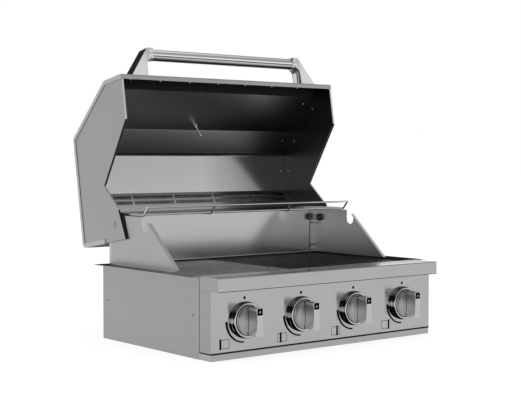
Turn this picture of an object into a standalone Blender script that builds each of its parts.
"""Built-in gas grill with four burners, shown with its lid open.

Metres, +Z up, +X to the right, +Y to the back. The origin is in the middle of
the underside. The lid is drawn closed about its pivot and hangs from an empty
that turns it open.
"""
import math

import bmesh
import bpy
from mathutils import Matrix, Vector

# Overall sizes
BODY_WIDTH = 0.776
BODY_DEPTH = 0.510
RIM_TOP = 0.2088
SHEET = 0.0012
GAP = 0.0003
OVERRUN = 0.004
BEND = 0.0025
BEND_STEPS = 3
MERGE = 0.00001
WELD = 0.000001

FRONT = -BODY_DEPTH / 2
REAR = BODY_DEPTH / 2
HALF = BODY_WIDTH / 2
RIM_UNDER = RIM_TOP - SHEET
SIDES = (("left", -1), ("right", 1))

# Control box, front trim and the front of the grease tray
CONTROL_DEPTH = 0.049
TRIM_RISE = 0.0007
TRIM_TOP = RIM_TOP + TRIM_RISE
TRIM_HEIGHT = 0.0355
CONTROL_TOP = TRIM_TOP - TRIM_HEIGHT
TRAY_FRONT_LOW = 0.0006
TRAY_FRONT_TOP = 0.0163
SHADOW_GAP = 0.0018
CONTROL_BOTTOM = TRAY_FRONT_TOP + SHADOW_GAP
TRIM_NOSE = 0.0296
STEM_HOLE_RADIUS = 0.007

# Counter flange, which is the rim of the firebox liner
FLANGE_OUT = 0.031
FLANGE_FRONT_CLEAR = 0.003
FLANGE_START = CONTROL_DEPTH + FLANGE_FRONT_CLEAR
FLANGE_REAR_CLEAR = 0.003
FLANGE_END = BODY_DEPTH - FLANGE_REAR_CLEAR
LINER_INSET = 0.0147
LINER_FRONT_INSET = 0.0112
LINER_FRONT = CONTROL_DEPTH + LINER_FRONT_INSET
LINER_REAR_INSET = 0.030
LINER_REAR = BODY_DEPTH - LINER_REAR_INSET
HOPPER_BELOW_BURNERS = 0.0245
HOPPER_BOTTOM = 0.032
SPOUT_BOTTOM = 0.024
SPOUT_INSET = 0.080
SPOUT_HALF = HALF - SPOUT_INSET
SPOUT_SLOPE = 0.070
SPOUT_FRONT = LINER_FRONT + SPOUT_SLOPE
SPOUT_REAR = LINER_REAR - SPOUT_SLOPE

# Wind guards and back wall, with heights above the rim
GUARD_INSET = 0.012
GUARD_FOOT = 0.009
GUARD_FRONT = 0.1628
GUARD_TOP = 0.1368
SLOT_CENTRE = 0.318
SLOT_RADIUS = 0.0147
SLOT_BOTTOM = 0.0932
GUARD_TIP = 0.1253
GUARD_EDGE_FLANGE = 0.0112
GUARD_LEDGE = 0.018
GUARD_REAR_FLANGE = 0.0215
BACK_WALL_CLEAR = 0.003
BACK_WALL_FRONT = LINER_REAR + BACK_WALL_CLEAR
BACK_WALL_DEPTH = 0.012
BACK_WALL_TOP = 0.1412

# Lid, drawn closed in the side view: distance behind the front, height above the rim
LID_INSET = 0.0036
PIVOT_AHEAD = 0.0539
PIVOT = (BODY_DEPTH - PIVOT_AHEAD, 0.1095)
LID_OPEN_ANGLE = math.radians(99.5)
LID_FRONT_CLEAR = 0.0035
LID_FRONT = CONTROL_DEPTH + LID_FRONT_CLEAR
LID_REAR_CLEAR = 0.0095
LID_REAR = BODY_DEPTH - LID_REAR_CLEAR
LID_FRONT_LOW = (LID_FRONT, 0.0027)
LID_FRONT_HIGH = (LID_FRONT, 0.0962)
LID_TOP_FRONT = (0.1810, 0.2912)
LID_TOP_REAR = (LID_REAR, 0.2912)
LID_REAR_LOW = (LID_REAR, 0.0582)
LID_HEEL_AHEAD = 0.0401
LID_HEEL = (PIVOT[0] - LID_HEEL_AHEAD, 0.0818)
LID_RISE_AHEAD = 0.1141
LID_RISE_TOP = (PIVOT[0] - LID_RISE_AHEAD, 0.1442)
LID_RISE_LOW = (0.1790, 0.0027)
LID_SKIN_END = 0.1662
LID_FRONT_LIP = 0.014
LID_BAND = 0.0125
LID_CORNER = 0.014
LID_LOW_CORNER = 0.004
LID_EDGE_SOFT = 0.0015
LID_PANEL_LIP_END = 0.0115
LID_STEPS = 4
LID_BENDS = 3
LIP_RELIEF = 0.006

# Lid liner in the same view
LINER_SEAM = (0.070, 0.0892)
LINER_KNEE = (0.160, 0.2262)
LINER_CREASE = (0.235, 0.2672)
LINER_RIDGE_AHEAD = 0.1525
LINER_RIDGE = (LID_REAR - LINER_RIDGE_AHEAD, 0.2652)
LINER_TAIL_AHEAD = 0.0155
LINER_TAIL = (LID_REAR - LINER_TAIL_AHEAD, 0.2152)
LINER_TURN_UP = 0.010
VENT_COLUMNS = 5
VENT_END_MARGIN = 0.0125
VENT_BRIDGE = 0.007
VENT_SLOT_WIDTH = 0.011
VENT_ROW_SHARES = (0.10, 0.22)

# Lid handle
HANDLE_STAND_OFF = 0.0675
HANDLE_HEIGHT = 0.0382
HANDLE_RADIUS = 0.0155
HANDLE_WALL = 0.0015
COLLAR_WALL = 0.0015
COLLAR_RADIUS = HANDLE_RADIUS + COLLAR_WALL
COLLAR_END = 0.134
POST_FOOT_OUTER = 0.043
POST_FOOT_STEP = 0.016
POST_FOOT_INNER = COLLAR_END - POST_FOOT_STEP
COLLAR_LENGTH = 0.030
POST_CORNER = COLLAR_END - COLLAR_LENGTH
POST_HEIGHT = 0.029
POST_ELBOW = 0.012
POST_ROUND = 0.008
SPIGOT = 0.016

# Temperature gauge
GAUGE_SHARE = 0.65
GAUGE_RADIUS = 0.035
GAUGE_HEIGHT = 0.012
GAUGE_LIP = 0.003
GAUGE_SHANK = 0.005
GAUGE_NUT_RADIUS = 0.008
GAUGE_NUT_HEIGHT = 0.0044
PROBE_RADIUS = 0.0032
PROBE_LENGTH = 0.037

# Hinge stud
STUD_RADIUS = 0.005
STUD_HEAD_RADIUS = 0.008
STUD_HEAD = 0.0027
STUD_PLATE_AHEAD = 0.0281
STUD_PLATE_BEHIND = 0.0179
STUD_PLATE_HALF = 0.010
STUD_PLATE_THICK = 0.003
STUD_NUT = 0.007

# Knobs, bezels, stems and valves
KNOB_SIDE = 0.1075
KNOB_COUNT = 4
KNOB_PITCH = (BODY_WIDTH - 2 * KNOB_SIDE) / (KNOB_COUNT - 1)
KNOB_HEIGHT = 0.0965
KNOB_RADIUS = 0.038
KNOB_CLEAR = 0.0015
BEZEL_BORE = KNOB_RADIUS + KNOB_CLEAR
BEZEL_RIM = 0.0041
BEZEL_RING_RADIUS = BEZEL_BORE + BEZEL_RIM
BEZEL_LIP_ROUND = 0.0011
BEZEL_LIP_RADIUS = BEZEL_RING_RADIUS - BEZEL_LIP_ROUND
BEZEL_FOOT_PAST = 0.0009
BEZEL_RADIUS = BEZEL_RING_RADIUS + BEZEL_FOOT_PAST
BEZEL_HEIGHT = 0.0137
BEZEL_BASE = 0.0015
BEZEL_FLANGE = 0.004
BEZEL_GROOVE = 0.0012
BEZEL_SOFT = 0.0017
BEZEL_HOLE = 0.006
KNOB_SKIRT_LOW = 0.006
KNOB_FACE = 0.025
KNOB_SKIRT_DROP = 0.006
KNOB_SKIRT_TOP = KNOB_FACE - KNOB_SKIRT_DROP
KNOB_SHOULDER = 0.0055
KNOB_FACE_RADIUS = KNOB_RADIUS - KNOB_SHOULDER
KNOB_WALL = 0.002
KNOB_BOSS_RADIUS = 0.010
KNOB_BOSS_LOW = 0.008
GRIP_END_INSET = 0.002
GRIP_LENGTH = 2 * (KNOB_RADIUS - GRIP_END_INSET)
GRIP_END_WIDTH = 0.0235
GRIP_WAIST = 0.018
GRIP_HEIGHT = 0.034
GRIP_TOP = KNOB_FACE + GRIP_HEIGHT
GRIP_CORNER = 0.006
GRIP_SOFT = 0.002
STEM_RADIUS = 0.004
STEM_COVER = 0.003
STEM_TOP = KNOB_FACE - STEM_COVER
STEM_DEPTH = 0.018
SPRING_COLLAR_RADIUS = 0.0075
SPRING_COLLAR_START = 0.002
SPRING_COLLAR_LENGTH = 0.004
PUSH_TRAVEL = 0.003
VALVE_BOSS_RADIUS = 0.008
VALVE_BOSS_START = 0.0095
VALVE_BODY_START = 0.015
VALVE_BODY_END = 0.038
VALVE_BODY_HALF = 0.013
VALVE_BORE_CLEAR = 0.002
VALVE_BORE_END = STEM_DEPTH + VALVE_BORE_CLEAR
NOZZLE_RADIUS = 0.0045
NOZZLE_END = 0.052
INLET_STUB_RADIUS = 0.006

# Gas manifold and supply pipe
MANIFOLD_RADIUS = 0.0095
MANIFOLD_DEPTH = 0.026
MANIFOLD_DROP = 0.0325
MANIFOLD_OVERHANG = 0.020
SUPPLY_RADIUS = 0.007
SUPPLY_INSET = 0.031
SUPPLY_SIDE = HALF - SUPPLY_INSET
SUPPLY_LEAD = 0.017
MANIFOLD_RIGHT_END = SUPPLY_SIDE - SUPPLY_LEAD
SUPPLY_CLEAR = 0.001
SUPPLY_HEIGHT = CONTROL_BOTTOM + SHEET + SUPPLY_CLEAR + SUPPLY_RADIUS
SUPPLY_BEND = 0.012
SUPPLY_OUT = 0.018
SUPPLY_NUT_RADIUS = 0.011
SUPPLY_NUT_LENGTH = 0.010

# Burners
BURNER_RADIUS = 0.0127
BURNER_WALL = 0.0012
BURNER_FRONT = 0.047
BURNER_REAR_CLEAR = 0.025
BURNER_REAR = LINER_REAR - BURNER_REAR_CLEAR
BURNER_WAIST_RADIUS = 0.0095
BURNER_WAIST = 0.088
BURNER_WAIST_HALF = 0.018
BURNER_STUD_RADIUS = 0.004
BURNER_STUD_PAST = 0.003
PORT_COUNT = 10
PORT_FRONT = 0.120
PORT_REAR_CLEAR = 0.020
PORT_WIDTH = 0.0020
PORT_HEIGHT = 0.0040
PORT_RISE = 0.0045

# Support rails, flame tamers and grates
GRATE_DROP = 0.0038
GRATE_TOP = RIM_TOP - GRATE_DROP
GRATE_DEPTH = 0.019
GRATE_LEDGE_TOP = GRATE_TOP - GRATE_DEPTH
GRATE_LEDGE = 0.0215
RAIL_HEIGHT = 0.048
TAMER_LEDGE_LOW = GRATE_LEDGE_TOP - RAIL_HEIGHT
TAMER_LEDGE = 0.0375
RAIL_SIDE_CLEAR = 0.0033
TAMER_HALF_WIDTH = 0.055
TAMER_FLANGE = 0.010
TAMER_RISE = 0.022
TAMER_END_CLEAR = 0.0020
TAMER_SHEET = 0.0015
TAMER_SLOTS = 7
TAMER_SLOT_LENGTH = 0.020
TAMER_SLOT_WIDTH = 0.005
TAMER_SLOT_SIDE = 0.021
GRATE_FRONT_CLEAR = 0.0068
GRATE_FRONT = LINER_FRONT + GRATE_FRONT_CLEAR
GRATE_REAR_CLEAR = 0.003
GRATE_REAR = LINER_REAR - GRATE_REAR_CLEAR
GRATE_SIDE_INSET = 0.024
GRATE_SPACE = 0.002
GRATE_BARS = 13
BAR_WIDTH = 0.008
BAR_HEIGHT = 0.013
BAR_FOOT_SHARE = 0.6
CROSS_WIDTH = 0.008
CROSS_HEIGHT = 0.0087
CROSS_INSET = 0.006
CROSS_SHARES = (0, 0.5, 1)

# Warming rack, with its rail's height above the rim
RACK_INSET = 0.024
RACK_HALF = HALF - RACK_INSET
RACK_WIRE = 0.0026
RACK_CROSS_WIRE = 0.003
RACK_WIRE_PITCH = 0.0128
RACK_SLOT_CLEAR = 0.0043
RACK_FRONT = SLOT_CENTRE + SLOT_RADIUS + RACK_SLOT_CLEAR
RACK_REAR_CLEAR = 0.005
RACK_REAR = BACK_WALL_FRONT - RACK_REAR_CLEAR
RACK_CROSS_INNER = 0.141
RACK_RAIL_AHEAD = 0.0195
RACK_RAIL_FRONT = RACK_FRONT - RACK_RAIL_AHEAD
RACK_RAIL_HEIGHT = 0.1628
RACK_RAIL_OVERHANG = 0.003
RACK_SINK = 0.0035
RACK_BEND = 0.006

# Grease tray and its rails
TRAY_INSET = 0.022
TRAY_REAR_CLEAR = 0.0335
TRAY_LENGTH = BODY_DEPTH - TRAY_REAR_CLEAR
TRAY_LIP_CLEAR = 0.0007
TRAY_WALL_TOP = TRAY_FRONT_TOP - TRAY_LIP_CLEAR
RAIL_FRONT_CLEAR = 0.011
RAIL_FRONT = CONTROL_DEPTH + RAIL_FRONT_CLEAR
RAIL_REAR_CLEAR = 0.040
RAIL_REAR = BODY_DEPTH - RAIL_REAR_CLEAR
RAIL_FOOT = 0.0127
RAIL_HOOK = 0.0083
RAIL_RISE = 0.001
RAIL_TOP = TRAY_WALL_TOP + RAIL_RISE

# Body sheets
SIDE_RETURN = 0.012
PAN_LIP = 0.020
PAN_FRONT_CLEAR = 0.0025
PAN_START = CONTROL_DEPTH + PAN_FRONT_CLEAR
REAR_LIP = 0.013
REAR_VENTS = 7
REAR_VENT_LENGTH = 0.060
REAR_VENT_WIDTH = 0.006
REAR_VENT_TOP_CLEAR = 0.040

ROUND_STEPS = 20
SMALL_STEPS = 10
NUT_SIDES = 6
PIPE_STEPS = 3
SOFT_STEPS = 2
SOFT_ANGLE = math.radians(60)

STEEL = ((0.60, 0.60, 0.59), 1.0, 0.32)
DARK_STEEL = ((0.20, 0.20, 0.21), 1.0, 0.35)
BRIGHT = ((0.78, 0.78, 0.77), 1.0, 0.18)
BRASS = ((0.62, 0.48, 0.24), 1.0, 0.35)
IRON = ((0.10, 0.10, 0.10), 0.6, 0.55)


def clear_scene():
    for old in list(bpy.data.objects):
        bpy.data.objects.remove(old, do_unlink=True)


def new_collection(name):
    made = bpy.data.collections.new(name)
    bpy.context.scene.collection.children.link(made)
    return made


clear_scene()
PARTS = new_collection("gas_grill")
CUTTERS = new_collection("cutters")


def behind(distance):
    """Y of a place that lies this far behind the control panel's face."""
    return FRONT + distance


def above(height):
    """Z of a place that lies this far above the rim."""
    return RIM_TOP + height


def finish(obj, look):
    """Give a part its own material."""
    colour, metallic, roughness = look
    made = bpy.data.materials.new(obj.name)
    made.use_nodes = True
    shader = made.node_tree.nodes["Principled BSDF"]
    shader.inputs["Base Color"].default_value = (*colour, 1.0)
    shader.inputs["Metallic"].default_value = metallic
    shader.inputs["Roughness"].default_value = roughness
    obj.data.materials.append(made)


def add_part(name, mesh, look, parent=None):
    obj = bpy.data.objects.new(name, mesh)
    PARTS.objects.link(obj)
    finish(obj, look)
    if parent:
        obj.parent = parent
    return obj


def add_cutter(name, mesh, parent=None):
    obj = bpy.data.objects.new(name, mesh)
    CUTTERS.objects.link(obj)
    obj.hide_render = True
    obj.display_type = "WIRE"
    if parent:
        obj.parent = parent
    return obj


def add_empty(name, location, rotation=(0, 0, 0)):
    empty = bpy.data.objects.new(name, None)
    PARTS.objects.link(empty)
    empty.location = location
    empty.rotation_euler = rotation
    return empty


def to_mesh(name, bm):
    mesh = bpy.data.meshes.new(name)
    bm.to_mesh(mesh)
    bm.free()
    return mesh


def smooth(obj):
    obj.data.shade_smooth()
    return obj


def solidify(obj, thickness=SHEET, offset=-1):
    """Give an open sheet its wall, on the inner side of its faces."""
    shell = obj.modifiers.new("Sheet", "SOLIDIFY")
    shell.solidify_mode = "NON_MANIFOLD"
    shell.nonmanifold_thickness_mode = "CONSTRAINTS"
    shell.nonmanifold_merge_threshold = MERGE
    shell.thickness = thickness
    shell.offset = offset
    return obj


def soften(obj, width):
    edge = obj.modifiers.new("Soft edges", "BEVEL")
    edge.width = width
    edge.segments = SOFT_STEPS
    edge.limit_method = "ANGLE"
    edge.angle_limit = SOFT_ANGLE
    return obj


def boolean(obj, other, operation="DIFFERENCE"):
    step = obj.modifiers.new(operation.title(), "BOOLEAN")
    step.operation = operation
    step.solver = "EXACT"
    step.object = other
    return obj


def rounded(points, radius, steps=BEND_STEPS, closed=False):
    """Replace each corner of a path with an arc, one radius or a list of them."""
    count = len(points)
    radii = radius if isinstance(radius, (list, tuple)) else [radius] * count
    path = []
    for index, corner in enumerate(points):
        inner = closed or 0 < index < count - 1
        if not inner or not radii[index]:
            path.append(tuple(corner))
            continue
        here = Vector(corner)
        to_last = Vector(points[index - 1]) - here
        to_next = Vector(points[(index + 1) % count]) - here
        half = to_last.angle(to_next) / 2
        reach = min(radii[index] / math.tan(half), to_last.length / 2, to_next.length / 2)
        size = reach * math.tan(half)
        middle = (to_last.normalized() + to_next.normalized()).normalized()
        centre = here + middle * size / math.sin(half)
        start = here + to_last.normalized() * reach - centre
        end = here + to_next.normalized() * reach - centre
        turn = math.atan2(start.x * end.y - start.y * end.x, start.dot(end))
        for step in range(steps + 1):
            angle = turn * step / steps
            spun = (start.x * math.cos(angle) - start.y * math.sin(angle),
                    start.x * math.sin(angle) + start.y * math.cos(angle))
            path.append((centre.x + spun[0], centre.y + spun[1]))
    return path


def inset(points, distance, closed=False):
    """Move a path to the right of its travel; its outer side is on the left."""
    count = len(points)
    moved = []
    for index in range(count):
        here = Vector(points[index])
        into = Vector(points[index - 1]) if closed or index else None
        out = Vector(points[(index + 1) % count]) if closed or index < count - 1 else None
        normals = []
        for start, end in ((into, here), (here, out)):
            if start is None or end is None:
                continue
            along = (end - start).normalized()
            normals.append(Vector((along.y, -along.x)))
        if len(normals) == 1:
            moved.append(tuple(here + normals[0] * distance))
            continue
        sum_normal = normals[0] + normals[1]
        moved.append(tuple(here + sum_normal * distance / (1 + normals[0].dot(normals[1]))))
    return moved


def loft(bm, rows):
    """Skin rows of points with quads; returns the rows as vertices."""
    made = [[bm.verts.new(point) for point in row] for row in rows]
    for low, high in zip(made, made[1:]):
        for index in range(len(low) - 1):
            bm.faces.new((low[index], high[index], high[index + 1], low[index + 1]))
    return made


def swept(name, path, axis, low, high):
    """Open sheet whose section is swept along an axis, outer side on the left."""
    place = {
        "X": lambda point, at: (at, point[0], point[1]),
        "Y": lambda point, at: (point[0], at, point[1]),
        "Z": lambda point, at: (point[0], point[1], at),
    }[axis]
    ends = (high, low) if axis == "Y" else (low, high)
    bm = bmesh.new()
    loft(bm, [[place(point, at) for point in path] for at in ends])
    return to_mesh(name, bm)


def cube_mesh(name, low, high, open_normals=()):
    """Box between two corners; faces with the given normals are left out."""
    bm = bmesh.new()
    bmesh.ops.create_cube(bm, size=1)
    size = [top - bottom for bottom, top in zip(low, high)]
    middle = [(top + bottom) / 2 for bottom, top in zip(low, high)]
    bmesh.ops.scale(bm, vec=size, verts=bm.verts)
    bmesh.ops.translate(bm, vec=middle, verts=bm.verts)
    bm.normal_update()
    gone = [face for face in bm.faces for normal in open_normals
            if round(face.normal.dot(Vector(normal))) == 1]
    if gone:
        bmesh.ops.delete(bm, geom=gone, context="FACES")
    return to_mesh(name, bm)


def rods_mesh(name, places, radius, length, axis, steps=SMALL_STEPS):
    """Cylinders, centred on the given places and lying along one axis."""
    spin = {"X": Matrix.Rotation(math.pi / 2, 4, "Y"),
            "Y": Matrix.Rotation(math.pi / 2, 4, "X"),
            "Z": Matrix.Identity(4)}[axis]
    bm = bmesh.new()
    for place in places:
        bmesh.ops.create_cone(bm, cap_ends=True, segments=steps, radius1=radius, radius2=radius,
                              depth=length, matrix=Matrix.Translation(place) @ spin)
    return to_mesh(name, bm)


def clearance(radius):
    """Radius of a faceted hole whose flats clear a round of this radius."""
    return (radius + GAP) / math.cos(math.pi / SMALL_STEPS)


def turned(name, profile, look, location, rotation=(0, 0, 0), closed=False,
           steps=ROUND_STEPS, parent=None, cutter=False):
    """Screw a profile of (radius, height) about its local Z axis."""
    bm = bmesh.new()
    points = [bm.verts.new((radius, 0, height)) for radius, height in profile]
    for one, two in zip(points, points[1:]):
        bm.edges.new((one, two))
    if closed:
        bm.edges.new((points[-1], points[0]))
    mesh = to_mesh(name, bm)
    obj = add_cutter(name, mesh, parent) if cutter else add_part(name, mesh, look, parent)
    obj.location = location
    obj.rotation_euler = rotation
    spin = obj.modifiers.new("Turn", "SCREW")
    spin.axis = "Z"
    spin.angle = math.tau
    spin.steps = steps
    spin.render_steps = steps
    spin.use_merge_vertices = True
    spin.merge_threshold = MERGE
    spin.use_smooth_shade = True
    return obj


def baked(curve_object):
    """Mesh of a curve, with its caps welded on; the curve is removed."""
    bpy.context.view_layer.update()
    graph = bpy.context.evaluated_depsgraph_get()
    mesh = bpy.data.meshes.new_from_object(curve_object.evaluated_get(graph))
    bm = bmesh.new()
    bm.from_mesh(mesh)
    bmesh.ops.remove_doubles(bm, verts=bm.verts, dist=WELD)
    bm.to_mesh(mesh)
    bm.free()
    bpy.data.objects.remove(curve_object, do_unlink=True)
    return mesh


def wire_mesh(name, paths, radius, resolution=1):
    """Round wires along point lists, each with closed ends."""
    curve = bpy.data.curves.new(name, "CURVE")
    curve.dimensions = "3D"
    curve.bevel_depth = radius
    curve.bevel_resolution = resolution
    curve.use_fill_caps = True
    for path in paths:
        spline = curve.splines.new("POLY")
        spline.points.add(len(path) - 1)
        for point, place in zip(spline.points, path):
            point.co = (*place, 1)
    obj = bpy.data.objects.new(name, curve)
    PARTS.objects.link(obj)
    return baked(obj)


def plate_mesh(name, outline, thickness):
    """Flat outline with half its thickness on each side of its plane."""
    curve = bpy.data.curves.new(name, "CURVE")
    curve.dimensions = "2D"
    curve.fill_mode = "BOTH"
    curve.extrude = thickness / 2
    spline = curve.splines.new("POLY")
    spline.points.add(len(outline) - 1)
    for point, place in zip(spline.points, outline):
        point.co = (*place, 0, 1)
    spline.use_cyclic_u = True
    obj = bpy.data.objects.new(name, curve)
    PARTS.objects.link(obj)
    return baked(obj)


def panel_with_lips(outline, lips, at):
    """Flat sheet in the plane X = at that faces -X, with lips folded from its edges.

    outline goes up the front and down the back. Each lip is (edge index, vector).
    """
    bm = bmesh.new()
    corners = []
    lip_edges = []
    count = len(outline)
    folds = dict(lips)
    for index, point in enumerate(outline):
        here = Vector(point)
        corners.append(bm.verts.new((at, here.x, here.y)))
        if index in folds:
            along = Vector(outline[(index + 1) % count]) - here
            step = along.normalized() * LIP_RELIEF
            ends = (here + step, here + along - step)
            pair = [bm.verts.new((at, end.x, end.y)) for end in ends]
            corners.extend(pair)
            lip_edges.append((pair[0], pair[1], Vector(folds[index])))
    bm.faces.new(corners)
    for start, end, fold in lip_edges:
        far = [bm.verts.new(vertex.co + fold) for vertex in (start, end)]
        bm.faces.new((end, start, far[0], far[1]))
    return bm


def mirrored_x(bm):
    bmesh.ops.scale(bm, vec=(-1, 1, 1), verts=bm.verts)
    bmesh.ops.reverse_faces(bm, faces=bm.faces)
    return bm


KNOB_PLACES = [KNOB_PITCH * (index - (KNOB_COUNT - 1) / 2) for index in range(KNOB_COUNT)]
FACE_FORWARD = (math.pi / 2, 0, 0)


def make_body():
    side_top = RIM_UNDER - GAP
    for side, sign in SIDES:
        front = behind(CONTROL_DEPTH + GAP)
        path = [(HALF, REAR), (HALF, front), (HALF - SIDE_RETURN, front)]
        if sign < 0:
            path = [(-x, y) for x, y in reversed(path)]
        panel = swept(f"{side}_side_panel", rounded(path, BEND), "Z", 0, side_top)
        solidify(add_part(f"{side}_side_panel", panel, STEEL))
    inner = HALF - SHEET - GAP
    floor = [(inner, PAN_LIP), (inner, 0), (-inner, 0), (-inner, PAN_LIP)]
    pan = swept("bottom_pan", rounded(floor, BEND), "Y", behind(PAN_START), REAR - REAR_LIP - GAP)
    solidify(add_part("bottom_pan", pan, STEEL))
    low = SHEET + GAP
    back = [(REAR - REAR_LIP, side_top), (REAR, side_top), (REAR, low), (REAR - REAR_LIP, low)]
    rear = swept("rear_panel", rounded(back, BEND), "X", -inner, inner)
    rear_panel = solidify(add_part("rear_panel", rear, STEEL))
    hole = rods_mesh("supply_hole", [(SUPPLY_SIDE, REAR, SUPPLY_HEIGHT)], clearance(SUPPLY_RADIUS),
                     REAR_LIP, "Y")
    boolean(rear_panel, add_cutter("supply_hole", hole))
    pitch = 2 * inner / REAR_VENTS
    middle = side_top - REAR_VENT_TOP_CLEAR
    vents = []
    for vent in range(REAR_VENTS):
        x = pitch * (vent - (REAR_VENTS - 1) / 2)
        vents.append(((x - REAR_VENT_LENGTH / 2, REAR - SHEET - OVERRUN, middle - REAR_VENT_WIDTH / 2),
                      (x + REAR_VENT_LENGTH / 2, REAR + OVERRUN, middle + REAR_VENT_WIDTH / 2)))
    boolean(rear_panel, add_cutter("rear_vents", bars_mesh("rear_vents", vents)))


def make_control_box():
    low = (-HALF, FRONT, CONTROL_BOTTOM)
    high = (HALF, behind(CONTROL_DEPTH), CONTROL_TOP)
    shell = cube_mesh("control_panel", low, high, [(0, 1, 0), (0, 0, 1)])
    panel = solidify(add_part("control_panel", shell, STEEL))
    places = [(x, FRONT, KNOB_HEIGHT) for x in KNOB_PLACES]
    holes = rods_mesh("stem_holes", places, STEM_HOLE_RADIUS, SHEET * 2 + OVERRUN, "Y")
    boolean(panel, add_cutter("stem_holes", holes))
    bottom = CONTROL_TOP + GAP
    rear = behind(CONTROL_DEPTH)
    nose = behind(-TRIM_NOSE)
    section = rounded([(rear, bottom), (nose, bottom), (nose, TRIM_TOP), (rear, TRIM_TOP)], BEND)
    bm = bmesh.new()
    rows = loft(bm, [[(x, y, z) for y, z in section] for x in (-HALF, HALF)])
    bm.faces.new(rows[0])
    bm.faces.new(list(reversed(rows[1])))
    solidify(add_part("front_trim", to_mesh("front_trim", bm), STEEL))


def make_liner():
    """Firebox with the counter flange as its rim and a hopper as its floor."""
    bm = bmesh.new()
    inner = HALF - LINER_INSET
    front = behind(LINER_FRONT)
    rear = behind(LINER_REAR)
    lip = behind(CONTROL_DEPTH + GAP)
    start = behind(FLANGE_START)
    end = behind(FLANGE_END)
    out = HALF + FLANGE_OUT

    def ring(half, near, far, height):
        spots = ((-half, near), (half, near), (half, far), (-half, far))
        return [bm.verts.new((x, y, height)) for x, y in spots]

    mouth = ring(inner, front, rear, RIM_TOP)
    outer = ring(out, start, end, RIM_TOP)
    nose = [bm.verts.new((x, lip, RIM_TOP)) for x in (-HALF, HALF)]
    notch = [bm.verts.new((x, start, RIM_TOP)) for x in (-HALF, HALF)]
    bm.faces.new((nose[0], nose[1], notch[1], mouth[1], mouth[0], notch[0]))
    bm.faces.new((notch[0], mouth[0], mouth[3], outer[3], outer[0]))
    bm.faces.new((notch[1], outer[1], outer[2], mouth[2], mouth[1]))
    bm.faces.new((mouth[3], mouth[2], outer[2], outer[3]))
    rings = [mouth,
             ring(inner, front, rear, KNOB_HEIGHT - HOPPER_BELOW_BURNERS),
             ring(SPOUT_HALF, behind(SPOUT_FRONT), behind(SPOUT_REAR), HOPPER_BOTTOM),
             ring(SPOUT_HALF, behind(SPOUT_FRONT), behind(SPOUT_REAR), SPOUT_BOTTOM)]
    for high, low in zip(rings, rings[1:]):
        for index in range(len(high)):
            after = (index + 1) % len(high)
            bm.faces.new((high[index], high[after], low[after], low[index]))
    liner = solidify(add_part("firebox_liner", to_mesh("firebox_liner", bm), STEEL))
    mouths = rods_mesh("burner_holes", [(x, front, KNOB_HEIGHT) for x in KNOB_PLACES],
                       clearance(BURNER_RADIUS), SHEET * 2 + OVERRUN, "Y")
    boolean(liner, add_cutter("burner_holes", mouths))
    studs = rods_mesh("burner_stud_holes", [(x, rear, KNOB_HEIGHT) for x in KNOB_PLACES],
                      clearance(BURNER_STUD_RADIUS), SHEET * 2 + OVERRUN, "Y")
    boolean(liner, add_cutter("burner_stud_holes", studs))


def guard_outline():
    """Side view of a wind guard, with the rounded slot in its top edge."""
    foot = GAP + SHEET
    rear = BACK_WALL_FRONT - GAP
    left = SLOT_CENTRE - SLOT_RADIUS
    right = SLOT_CENTRE + SLOT_RADIUS
    low = SLOT_BOTTOM + SLOT_RADIUS
    outline = [(GUARD_FRONT, foot), (left, GUARD_TIP), (left, low)]
    for step in range(1, ROUND_STEPS // 4):
        angle = math.pi * (1 + step / (ROUND_STEPS // 4))
        outline.append((SLOT_CENTRE + SLOT_RADIUS * math.cos(angle),
                        low + SLOT_RADIUS * math.sin(angle)))
    outline += [(right, low), (right, GUARD_TOP), (rear, GUARD_TOP), (rear, foot)]
    return [(behind(y), above(z)) for y, z in outline]


def make_guards():
    outline = guard_outline()
    last = len(outline) - 1
    pivot = (behind(PIVOT[0]), above(PIVOT[1]))
    for side, sign in SIDES:
        lips = [(0, (GUARD_EDGE_FLANGE, 0, 0)), (last - 2, (GUARD_LEDGE, 0, 0)),
                (last - 1, (GUARD_REAR_FLANGE, 0, 0)), (last, (-GUARD_FOOT, 0, 0))]
        bm = panel_with_lips(outline, lips, -HALF + GUARD_INSET)
        if sign > 0:
            mirrored_x(bm)
        name = f"{side}_wind_guard"
        guard = solidify(add_part(name, to_mesh(name, bm), STEEL))
        hole = rods_mesh(f"{side}_stud_hole", [(sign * (HALF - GUARD_INSET), *pivot)],
                         clearance(STUD_RADIUS), SHEET * 2 + OVERRUN, "X")
        boolean(guard, add_cutter(f"{side}_stud_hole", hole))
    low = (-HALF + GUARD_INSET, behind(BACK_WALL_FRONT), above(GAP))
    high = (HALF - GUARD_INSET, behind(BACK_WALL_FRONT + BACK_WALL_DEPTH), above(BACK_WALL_TOP))
    wall = cube_mesh("back_wall", low, high, [(0, 1, 0)])
    solidify(add_part("back_wall", wall, STEEL))


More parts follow.
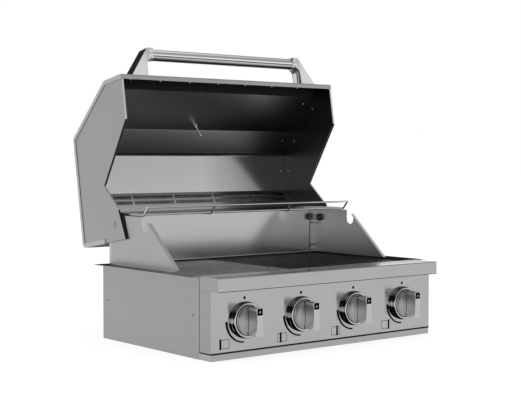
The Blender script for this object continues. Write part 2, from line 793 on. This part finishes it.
def make_hinge_studs():
    """Stud plates on the guards: the lid's end panels turn between washer and head."""
    panel_outer = GUARD_INSET - (LID_INSET + SHEET + GAP)
    panel_inner = panel_outer - SHEET
    plate_top = -SHEET - GAP
    profile = [(0, panel_outer + GAP + STUD_HEAD), (STUD_HEAD_RADIUS, panel_outer + GAP + STUD_HEAD),
               (STUD_HEAD_RADIUS, panel_outer + GAP), (STUD_RADIUS, panel_outer + GAP),
               (STUD_RADIUS, panel_inner - GAP), (STUD_HEAD_RADIUS, panel_inner - GAP),
               (STUD_HEAD_RADIUS, GAP), (STUD_RADIUS, GAP), (STUD_RADIUS, plate_top - STUD_PLATE_THICK / 2),
               (STUD_HEAD_RADIUS, plate_top - STUD_PLATE_THICK / 2),
               (STUD_HEAD_RADIUS, plate_top - STUD_NUT), (0, plate_top - STUD_NUT)]
    for side, sign in SIDES:
        spot = (sign * (HALF - GUARD_INSET), behind(PIVOT[0]), above(PIVOT[1]))
        stud = turned(f"{side}_hinge_stud", profile, DARK_STEEL, spot, (0, sign * math.pi / 2, 0),
                      steps=SMALL_STEPS)
        near = spot[0] + sign * plate_top
        far = near - sign * STUD_PLATE_THICK
        low = (min(near, far), spot[1] - STUD_PLATE_AHEAD, spot[2] - STUD_PLATE_HALF)
        high = (max(near, far), spot[1] + STUD_PLATE_BEHIND, spot[2] + STUD_PLATE_HALF)
        plate = add_cutter(f"{side}_stud_plate", cube_mesh(f"{side}_stud_plate", low, high))
        boolean(stud, plate, "UNION")


def make_support_rails():
    half = HALF - LINER_INSET - RAIL_SIDE_CLEAR
    for end, wall, inward in (("front", LINER_FRONT, 1), ("rear", LINER_REAR, -1)):
        web = behind(wall + inward * GAP)
        path = [(web + inward * TAMER_LEDGE, TAMER_LEDGE_LOW), (web, TAMER_LEDGE_LOW),
                (web, GRATE_LEDGE_TOP), (web + inward * GRATE_LEDGE, GRATE_LEDGE_TOP)]
        if inward < 0:
            path.reverse()
        name = f"{end}_support_rail"
        solidify(add_part(name, swept(name, path, "X", -half, half), STEEL))


def make_burners():
    length = BURNER_REAR - BURNER_FRONT
    waist = BURNER_WAIST - BURNER_FRONT
    stud = LINER_REAR + SHEET + BURNER_STUD_PAST - BURNER_FRONT
    bore = BURNER_RADIUS - BURNER_WALL
    throat = BURNER_WAIST_RADIUS - BURNER_WALL
    outer = [(0, -stud), (BURNER_STUD_RADIUS, -stud), (BURNER_STUD_RADIUS, -length),
             (BURNER_RADIUS, -length), (BURNER_RADIUS, -waist - BURNER_WAIST_HALF),
             (BURNER_WAIST_RADIUS, -waist), (BURNER_RADIUS, -waist + BURNER_WAIST_HALF),
             (BURNER_RADIUS, 0)]
    inner = [(bore, 0), (bore, -waist + BURNER_WAIST_HALF), (throat, -waist),
             (bore, -waist - BURNER_WAIST_HALF), (bore, -length + BURNER_WALL),
             (0, -length + BURNER_WALL)]
    profile = list(reversed(outer + inner))
    pitch = (BURNER_REAR - PORT_REAR_CLEAR - PORT_FRONT) / (PORT_COUNT - 1)
    low = KNOB_HEIGHT + PORT_RISE
    for number, x in enumerate(KNOB_PLACES, 1):
        spot = (x, behind(BURNER_FRONT), KNOB_HEIGHT)
        burner = turned(f"burner_{number}", profile, DARK_STEEL, spot, FACE_FORWARD, steps=SMALL_STEPS)
        ports = []
        for port in range(PORT_COUNT):
            y = behind(PORT_FRONT + pitch * port)
            ports.append(((x - BURNER_RADIUS, y - PORT_WIDTH / 2, low),
                          (x + BURNER_RADIUS, y + PORT_WIDTH / 2, low + PORT_HEIGHT)))
        boolean(burner, add_cutter(f"ports_{number}", bars_mesh(f"ports_{number}", ports)))


def make_valves():
    drop = KNOB_HEIGHT - MANIFOLD_DROP + MANIFOLD_RADIUS + GAP
    for number, x in enumerate(KNOB_PLACES, 1):
        name = f"valve_{number}"
        low = (x - VALVE_BODY_HALF, behind(VALVE_BODY_START), KNOB_HEIGHT - VALVE_BODY_HALF)
        high = (x + VALVE_BODY_HALF, behind(VALVE_BODY_END), KNOB_HEIGHT + VALVE_BODY_HALF)
        valve = add_part(name, cube_mesh(name, low, high), BRASS)
        middle = behind((VALVE_BODY_START + VALVE_BODY_END) / 2)
        boss_long = VALVE_BODY_START - VALVE_BOSS_START + OVERRUN
        boss = rods_mesh(f"{name}_boss", [(x, behind(VALVE_BOSS_START) + boss_long / 2, KNOB_HEIGHT)],
                         VALVE_BOSS_RADIUS, boss_long, "Y")
        nozzle_long = NOZZLE_END - VALVE_BODY_END + OVERRUN
        nozzle = rods_mesh(f"{name}_nozzle", [(x, behind(NOZZLE_END) - nozzle_long / 2, KNOB_HEIGHT)],
                           NOZZLE_RADIUS, nozzle_long, "Y")
        stub_long = KNOB_HEIGHT - VALVE_BODY_HALF + OVERRUN - drop
        stub = rods_mesh(f"{name}_stub", [(x, middle, drop + stub_long / 2)],
                         INLET_STUB_RADIUS, stub_long, "Z")
        for piece in (boss, nozzle, stub):
            boolean(valve, add_cutter(piece.name, piece), "UNION")
        bore_long = VALVE_BORE_END - VALVE_BOSS_START + OVERRUN
        bore = rods_mesh(f"{name}_bore", [(x, behind(VALVE_BORE_END) - bore_long / 2, KNOB_HEIGHT)],
                         clearance(STEM_RADIUS), bore_long, "Y")
        boolean(valve, add_cutter(f"{name}_bore", bore))


def make_gas_pipes():
    height = KNOB_HEIGHT - MANIFOLD_DROP
    depth = behind(MANIFOLD_DEPTH)
    start = (KNOB_PLACES[0] - MANIFOLD_OVERHANG, depth, height)
    end = (MANIFOLD_RIGHT_END, depth, height)
    pipe = wire_mesh("gas_manifold", [[start, end]], MANIFOLD_RADIUS, PIPE_STEPS)
    smooth(add_part("gas_manifold", pipe, STEEL))
    halfway = (height + SUPPLY_HEIGHT) / 2
    fall = rounded([(MANIFOLD_RIGHT_END + GAP, height), (SUPPLY_SIDE, height),
                    (SUPPLY_SIDE, halfway)], SUPPLY_BEND)
    route = [(x, depth, z) for x, z in fall]
    run = rounded([(depth, halfway), (depth, SUPPLY_HEIGHT),
                   (REAR + SUPPLY_OUT, SUPPLY_HEIGHT)], SUPPLY_BEND)
    route += [(SUPPLY_SIDE, y, z) for y, z in run[1:]]
    supply = add_part("supply_pipe", wire_mesh("supply_pipe", [route], SUPPLY_RADIUS, PIPE_STEPS), STEEL)
    nut = rods_mesh("supply_nut", [(SUPPLY_SIDE, REAR + GAP + SUPPLY_NUT_LENGTH / 2, SUPPLY_HEIGHT)],
                    SUPPLY_NUT_RADIUS, SUPPLY_NUT_LENGTH, "Y", NUT_SIDES)
    boolean(supply, add_cutter("supply_nut", nut), "UNION")


def bezel_profile():
    groove = BEZEL_RADIUS - BEZEL_GROOVE * 2
    return [(BEZEL_LIP_RADIUS, BEZEL_HEIGHT), (BEZEL_RING_RADIUS, BEZEL_HEIGHT - BEZEL_SOFT),
            (BEZEL_RING_RADIUS, BEZEL_FLANGE + BEZEL_GROOVE * 2), (groove, BEZEL_FLANGE + BEZEL_GROOVE),
            (groove, BEZEL_FLANGE), (BEZEL_RADIUS, BEZEL_FLANGE - BEZEL_GROOVE), (BEZEL_RADIUS, GAP),
            (BEZEL_HOLE, GAP), (BEZEL_HOLE, BEZEL_BASE + GAP), (BEZEL_BORE, BEZEL_BASE + GAP),
            (BEZEL_BORE, BEZEL_HEIGHT)]


def knob_profile():
    ceiling = KNOB_FACE - KNOB_WALL * 2
    bore = STEM_RADIUS + GAP
    return [(0, KNOB_FACE), (KNOB_FACE_RADIUS, KNOB_FACE),
            (KNOB_RADIUS - KNOB_WALL / 2, KNOB_FACE - KNOB_WALL), (KNOB_RADIUS, KNOB_SKIRT_TOP),
            (KNOB_RADIUS, KNOB_SKIRT_LOW), (KNOB_RADIUS - KNOB_WALL, KNOB_SKIRT_LOW),
            (KNOB_RADIUS - KNOB_WALL * 2, ceiling), (KNOB_BOSS_RADIUS, ceiling),
            (KNOB_BOSS_RADIUS, KNOB_BOSS_LOW), (bore, KNOB_BOSS_LOW), (bore, STEM_TOP + GAP),
            (0, STEM_TOP + GAP)]


def grip_outline():
    half = GRIP_LENGTH / 2
    end = GRIP_END_WIDTH / 2
    waist = GRIP_WAIST / 2
    corners = [(-end, half), (-waist, 0), (-end, -half), (end, -half), (waist, 0), (end, half)]
    radii = [GRIP_CORNER, GRIP_LENGTH, GRIP_CORNER, GRIP_CORNER, GRIP_LENGTH, GRIP_CORNER]
    return rounded(corners, radii, closed=True)


def make_controls():
    bezel = bezel_profile()
    knob = knob_profile()
    grip_low = KNOB_FACE - KNOB_WALL
    collar_low = -SPRING_COLLAR_START - SPRING_COLLAR_LENGTH
    collar = [(SPRING_COLLAR_RADIUS, -SPRING_COLLAR_START), (SPRING_COLLAR_RADIUS, collar_low),
              (STEM_RADIUS + GAP, collar_low), (STEM_RADIUS + GAP, -SPRING_COLLAR_START)]
    stem = [(0, STEM_TOP), (STEM_RADIUS, STEM_TOP), (STEM_RADIUS, -STEM_DEPTH + PUSH_TRAVEL),
            (0, -STEM_DEPTH + PUSH_TRAVEL)]
    for number, x in enumerate(KNOB_PLACES, 1):
        spot = (x, FRONT, KNOB_HEIGHT)
        turned(f"knob_bezel_{number}", bezel, BRIGHT, spot, FACE_FORWARD, closed=True)
        turned(f"spring_collar_{number}", collar, BRASS, spot, FACE_FORWARD, closed=True,
               steps=SMALL_STEPS)
        turned(f"valve_stem_{number}", stem, BRIGHT, spot, FACE_FORWARD, steps=SMALL_STEPS)
        body = turned(f"knob_{number}", knob, BRIGHT, spot, FACE_FORWARD)
        grip_mesh = plate_mesh(f"grip_{number}", grip_outline(), GRIP_TOP - grip_low)
        grip = add_cutter(f"grip_{number}", grip_mesh)
        grip.location = (x, FRONT - (GRIP_TOP + grip_low) / 2, KNOB_HEIGHT)
        grip.rotation_euler = FACE_FORWARD
        soften(grip, GRIP_SOFT)
        boolean(body, grip, "UNION")


def make_tamers():
    ledge = TAMER_LEDGE_LOW + SHEET + GAP + TAMER_SHEET
    start = LINER_FRONT + GAP + GRATE_LEDGE + TAMER_END_CLEAR
    end = LINER_REAR - GAP - GRATE_LEDGE - TAMER_END_CLEAR
    for number, x in enumerate(KNOB_PLACES, 1):
        foot = TAMER_HALF_WIDTH - TAMER_FLANGE
        path = [(x - TAMER_HALF_WIDTH, ledge), (x - foot, ledge), (x, ledge + TAMER_RISE),
                (x + foot, ledge), (x + TAMER_HALF_WIDTH, ledge)]
        name = f"flame_tamer_{number}"
        mesh = swept(name, rounded(path, BEND), "Y", behind(start), behind(end))
        tamer = solidify(add_part(name, mesh, DARK_STEEL), TAMER_SHEET)
        pitch = (end - start) / TAMER_SLOTS
        slots = []
        for slot in range(TAMER_SLOTS):
            middle = behind(start + pitch * (slot + 1 / 2))
            for side in (x - TAMER_SLOT_SIDE, x + TAMER_SLOT_SIDE):
                slots.append(((side - TAMER_SLOT_WIDTH / 2, middle - TAMER_SLOT_LENGTH / 2, ledge - OVERRUN),
                              (side + TAMER_SLOT_WIDTH / 2, middle + TAMER_SLOT_LENGTH / 2,
                               ledge + TAMER_RISE)))
        boolean(tamer, add_cutter(f"{name}_slots", bars_mesh(f"{name}_slots", slots)))


def bars_mesh(name, boxes, foot_share=1):
    """Bars as boxes; their undersides are narrowed across to a share of the top."""
    bm = bmesh.new()
    for low, high in boxes:
        made = bmesh.ops.create_cube(bm, size=1)["verts"]
        middle = Vector([(top + bottom) / 2 for bottom, top in zip(low, high)])
        size = [top - bottom for bottom, top in zip(low, high)]
        for vertex in made:
            narrow = foot_share if vertex.co.z < 0 else 1
            vertex.co = middle + Vector((vertex.co.x * size[0] * narrow, vertex.co.y * size[1],
                                         vertex.co.z * size[2]))
    return to_mesh(name, bm)


def make_grates():
    names = ("left", "middle", "right")
    whole = 2 * (HALF - GRATE_SIDE_INSET)
    width = (whole - GRATE_SPACE * (len(names) - 1)) / len(names)
    under = GRATE_LEDGE_TOP + GAP
    for index, place in enumerate(names):
        left = -whole / 2 + index * (width + GRATE_SPACE)
        step = (width - BAR_WIDTH) / (GRATE_BARS - 1)
        bars = []
        for bar in range(GRATE_BARS):
            x = left + bar * step
            bars.append(((x, behind(GRATE_FRONT), GRATE_TOP - BAR_HEIGHT),
                         (x + BAR_WIDTH, behind(GRATE_REAR), GRATE_TOP)))
        span = GRATE_REAR - GRATE_FRONT - 2 * CROSS_INSET - CROSS_WIDTH
        crosses = []
        for share in CROSS_SHARES:
            y = behind(GRATE_FRONT + CROSS_INSET + span * share)
            crosses.append(((left + GAP, y, under),
                            (left + width - GAP, y + CROSS_WIDTH, under + CROSS_HEIGHT)))
        name = f"cooking_grate_{place}"
        grate = add_part(name, bars_mesh(name, bars, BAR_FOOT_SHARE), IRON)
        boolean(grate, add_cutter(f"{name}_crosses", bars_mesh(f"{name}_crosses", crosses)), "UNION")


def make_warming_rack():
    cross_height = above(GUARD_TOP + GAP + RACK_CROSS_WIRE)
    deck_height = cross_height + RACK_CROSS_WIRE + RACK_WIRE - RACK_SINK
    wires = round((RACK_REAR - RACK_FRONT) / RACK_WIRE_PITCH) + 1
    step = (RACK_REAR - RACK_FRONT) / (wires - 1)
    deck = []
    for wire in range(wires):
        y = behind(RACK_FRONT + step * wire)
        deck.append([(-RACK_HALF, y, deck_height), (RACK_HALF, y, deck_height)])
    rail = behind(RACK_RAIL_FRONT)
    rail_height = above(RACK_RAIL_HEIGHT)
    reach = RACK_HALF + RACK_RAIL_OVERHANG
    deck.append([(-reach, rail, rail_height), (reach, rail, rail_height)])
    crosses = []
    bend = rounded([(behind(RACK_REAR + RACK_WIRE), cross_height), (behind(RACK_FRONT), cross_height),
                    (rail, rail_height)], RACK_BEND)
    for x in (-RACK_HALF, -RACK_CROSS_INNER, RACK_CROSS_INNER, RACK_HALF):
        crosses.append([(x, y, z) for y, z in bend])
    mesh = wire_mesh("warming_rack", deck, RACK_WIRE)
    rack = smooth(add_part("warming_rack", mesh, BRIGHT))
    cross_mesh = wire_mesh("rack_crosses", crosses, RACK_CROSS_WIRE)
    boolean(rack, add_cutter("rack_crosses", cross_mesh), "UNION")


def make_grease_tray():
    low = (-HALF + TRAY_INSET, FRONT + SHEET + GAP, SHEET + GAP)
    high = (HALF - TRAY_INSET, FRONT + TRAY_LENGTH, TRAY_WALL_TOP)
    pan = cube_mesh("grease_tray", low, high, [(0, 0, 1)])
    solidify(add_part("grease_tray", pan, STEEL))
    rear = behind(CONTROL_DEPTH)
    path = rounded([(HALF, rear), (HALF, FRONT), (-HALF, FRONT), (-HALF, rear)], BEND)
    front = swept("grease_tray_front", path, "Z", TRAY_FRONT_LOW, TRAY_FRONT_TOP)
    solidify(add_part("grease_tray_front", front, STEEL))
    for side, sign in SIDES:
        web = HALF - TRAY_INSET + GAP
        base = SHEET + GAP
        path = [(web - RAIL_HOOK, RAIL_TOP), (web, RAIL_TOP), (web, base), (web + RAIL_FOOT, base)]
        if sign < 0:
            path = [(-x, z) for x, z in path]
        else:
            path.reverse()
        name = f"{side}_tray_rail"
        mesh = swept(name, path, "Y", behind(RAIL_FRONT), behind(RAIL_REAR))
        solidify(add_part(name, mesh, STEEL))


def from_pivot(point):
    return (point[0] - PIVOT[0], point[1] - PIVOT[1])


def make_lid_skin(axis):
    corners = [(LID_FRONT_LOW[0] + LID_FRONT_LIP, LID_FRONT_LOW[1]), LID_FRONT_LOW,
               LID_FRONT_HIGH, LID_TOP_FRONT, LID_TOP_REAR, (LID_TOP_REAR[0], LID_SKIN_END)]
    corners = [from_pivot(point) for point in corners]
    radii = [0, LID_LOW_CORNER, LID_CORNER, LID_CORNER, LID_CORNER, 0]
    tight = [max(radius - LID_BAND, BEND / 2) if radius else 0 for radius in radii]
    outer = rounded(corners, radii, LID_STEPS)
    inner = rounded(inset(corners, LID_BAND), tight, LID_STEPS)
    end = HALF - LID_INSET
    rows = [[(x, y, z) for y, z in path]
            for x, path in ((-end, inner), (-end, outer), (end, outer), (end, inner))]
    bm = bmesh.new()
    loft(bm, rows)
    skin = add_part("lid_skin", to_mesh("lid_skin", bm), STEEL, axis)
    soften(skin, LID_EDGE_SOFT)
    solidify(skin)
    return skin


def make_lid_panels(axis):
    outline = [LID_FRONT_LOW, LID_FRONT_HIGH, LID_TOP_FRONT, LID_TOP_REAR,
               (LID_TOP_REAR[0], LID_SKIN_END), LID_REAR_LOW, LID_HEEL, LID_RISE_TOP, LID_RISE_LOW]
    margin = SHEET + GAP
    outline = inset([from_pivot(point) for point in outline], margin, closed=True)
    radii = [LID_LOW_CORNER - margin] + [LID_CORNER - margin] * LID_BENDS
    first = len(radii) * (LID_STEPS + 1)
    lip_count = len(outline) - len(radii)
    path = rounded(outline, radii + [0] * lip_count, LID_STEPS, closed=True)
    face = -HALF + LID_INSET + SHEET + GAP
    reach = -HALF + LID_PANEL_LIP_END - face
    for side, sign in SIDES:
        lips = [(first + step, (reach, 0, 0)) for step in range(lip_count)]
        bm = panel_with_lips(path, lips, face)
        if sign > 0:
            mirrored_x(bm)
        name = f"lid_{side}_panel"
        panel = solidify(add_part(name, to_mesh(name, bm), DARK_STEEL, axis))
        hole = rods_mesh(f"{name}_hole", [(sign * abs(face), 0, 0)], clearance(STUD_RADIUS),
                         SHEET * 2 + OVERRUN, "X")
        boolean(panel, add_cutter(f"{name}_hole", hole, axis))


def gauge_place():
    """Point on the sloping front of the lid, and the outward slope normal's tilt."""
    low = Vector(from_pivot(LID_FRONT_HIGH))
    high = Vector(from_pivot(LID_TOP_FRONT))
    spot = low.lerp(high, GAUGE_SHARE)
    along = (high - low).normalized()
    return spot, math.atan2(along.y, along.x)


def gauge_nut_start():
    """Depth under the lid's face at which the nut meets the inner side of the liner."""
    spot, tilt = gauge_place()
    inward = Vector((math.sin(tilt), -math.cos(tilt)))
    seam = Vector(from_pivot(LINER_SEAM))
    along = (Vector(from_pivot(LINER_KNEE)) - seam).normalized()
    across = Vector((along.y, -along.x))
    return ((seam - spot).dot(across) + SHEET + GAP) / inward.dot(across)


def gauge_hole(name, axis):
    spot, tilt = gauge_place()
    reach = gauge_nut_start() + OVERRUN
    hole = add_cutter(name, rods_mesh(name, [(0, 0, 0)], clearance(GAUGE_SHANK), 2 * reach, "Z"), axis)
    hole.location = (0, spot.x, spot.y)
    hole.rotation_euler = (tilt, 0, 0)
    return hole


def make_lid_liner(axis):
    front = LID_FRONT_LOW[0] + SHEET + GAP
    rear = LID_TOP_REAR[0] - 2 * SHEET - GAP
    corners = [(front, LINER_SEAM[1]), LINER_SEAM, LINER_KNEE, LINER_CREASE, LINER_RIDGE,
               LINER_TAIL, (rear, LINER_TAIL[1]), (rear, LINER_TAIL[1] + LINER_TURN_UP)]
    corners = [from_pivot(point) for point in corners]
    end = HALF - LID_INSET - 2 * (SHEET + GAP)
    mesh = swept("lid_liner", rounded(corners, BEND), "X", -end, end)
    liner = solidify(add_part("lid_liner", mesh, BRIGHT, axis))
    high = Vector(from_pivot(LINER_RIDGE))
    low = Vector(from_pivot(LINER_TAIL))
    along = low - high
    pitch = 2 * (end - VENT_END_MARGIN) / VENT_COLUMNS
    slots = []
    for share in VENT_ROW_SHARES:
        spot = high + along * share
        for column in range(VENT_COLUMNS):
            slots.append((pitch * (column - (VENT_COLUMNS - 1) / 2), spot.x, spot.y))
    bm = bmesh.new()
    tilt = Matrix.Rotation(math.atan2(along.y, along.x), 4, "X")
    size = Matrix.Diagonal((pitch - VENT_BRIDGE, VENT_SLOT_WIDTH, SHEET * 2 + OVERRUN, 1))
    for slot in slots:
        bmesh.ops.create_cube(bm, size=1, matrix=Matrix.Translation(slot) @ tilt @ size)
    boolean(liner, add_cutter("vent_slots", to_mesh("vent_slots", bm), axis))
    boolean(liner, gauge_hole("liner_gauge_hole", axis))


def make_gauge(axis):
    spot, tilt = gauge_place()
    nut = gauge_nut_start()
    nut_end = nut + GAUGE_NUT_HEIGHT
    probe_end = nut_end + PROBE_LENGTH
    profile = [(0, GAUGE_HEIGHT), (GAUGE_RADIUS - GAUGE_LIP, GAUGE_HEIGHT),
               (GAUGE_RADIUS, GAUGE_HEIGHT - GAUGE_LIP), (GAUGE_RADIUS, GAP), (GAUGE_SHANK, GAP),
               (GAUGE_SHANK, -nut), (GAUGE_NUT_RADIUS, -nut), (GAUGE_NUT_RADIUS, -nut_end),
               (PROBE_RADIUS, -nut_end), (PROBE_RADIUS, -probe_end), (0, -probe_end)]
    turned("temperature_gauge", profile, BRIGHT, (0, spot.x, spot.y), (tilt, 0, 0), parent=axis)


def make_handle(axis):
    face = from_pivot(LID_FRONT_LOW)[0]
    line = face - HANDLE_STAND_OFF
    height = HANDLE_HEIGHT - PIVOT[1]
    for side, sign in SIDES:
        front = line - COLLAR_RADIUS + GAP
        inner = line + COLLAR_RADIUS - GAP
        corners = [(POST_FOOT_OUTER, face - GAP), (POST_CORNER, front), (COLLAR_END - GAP, front),
                   (COLLAR_END - GAP, inner), (POST_FOOT_INNER, inner + POST_ELBOW),
                   (POST_FOOT_INNER, face - GAP)]
        radii = [0, POST_ROUND, 0, 0, POST_ELBOW, 0]
        outline = [(sign * (HALF - x), y) for x, y in rounded(corners, radii, closed=True)]
        if sign > 0:
            outline.reverse()
        name = f"handle_{side}_post"
        post = add_part(name, plate_mesh(name, outline, POST_HEIGHT), BRIGHT, axis)
        post.location = (0, 0, height)
        core = HANDLE_RADIUS - HANDLE_WALL - GAP
        start = HALF - COLLAR_END
        shoulder = HALF - POST_CORNER - POST_ROUND / 2
        profile = [(0, shoulder), (COLLAR_RADIUS, shoulder), (COLLAR_RADIUS, start),
                   (core, start), (core, start - SPIGOT), (0, start - SPIGOT)]
        collar = turned(f"{name}_collar", profile, None, (0, line, height),
                        (0, sign * math.pi / 2, 0), parent=axis, cutter=True)
        boolean(post, collar, "UNION")
    end = HALF - COLLAR_END - GAP
    bore = HANDLE_RADIUS - HANDLE_WALL
    profile = [(HANDLE_RADIUS, end), (HANDLE_RADIUS, -end), (bore, -end), (bore, end)]
    turned("handle_tube", profile, BRIGHT, (0, line, height), (0, math.pi / 2, 0), closed=True,
           parent=axis)


def make_lid():
    pivot = (0, behind(PIVOT[0]), above(PIVOT[1]))
    axis = add_empty("lid_axis", pivot, (-LID_OPEN_ANGLE, 0, 0))
    skin = make_lid_skin(axis)
    boolean(skin, gauge_hole("skin_gauge_hole", axis))
    make_lid_panels(axis)
    make_lid_liner(axis)
    make_gauge(axis)
    make_handle(axis)


make_body()
make_control_box()
make_liner()
make_guards()
make_hinge_studs()
make_support_rails()
make_burners()
make_valves()
make_gas_pipes()
make_controls()
make_tamers()
make_grates()
make_warming_rack()
make_grease_tray()
make_lid()
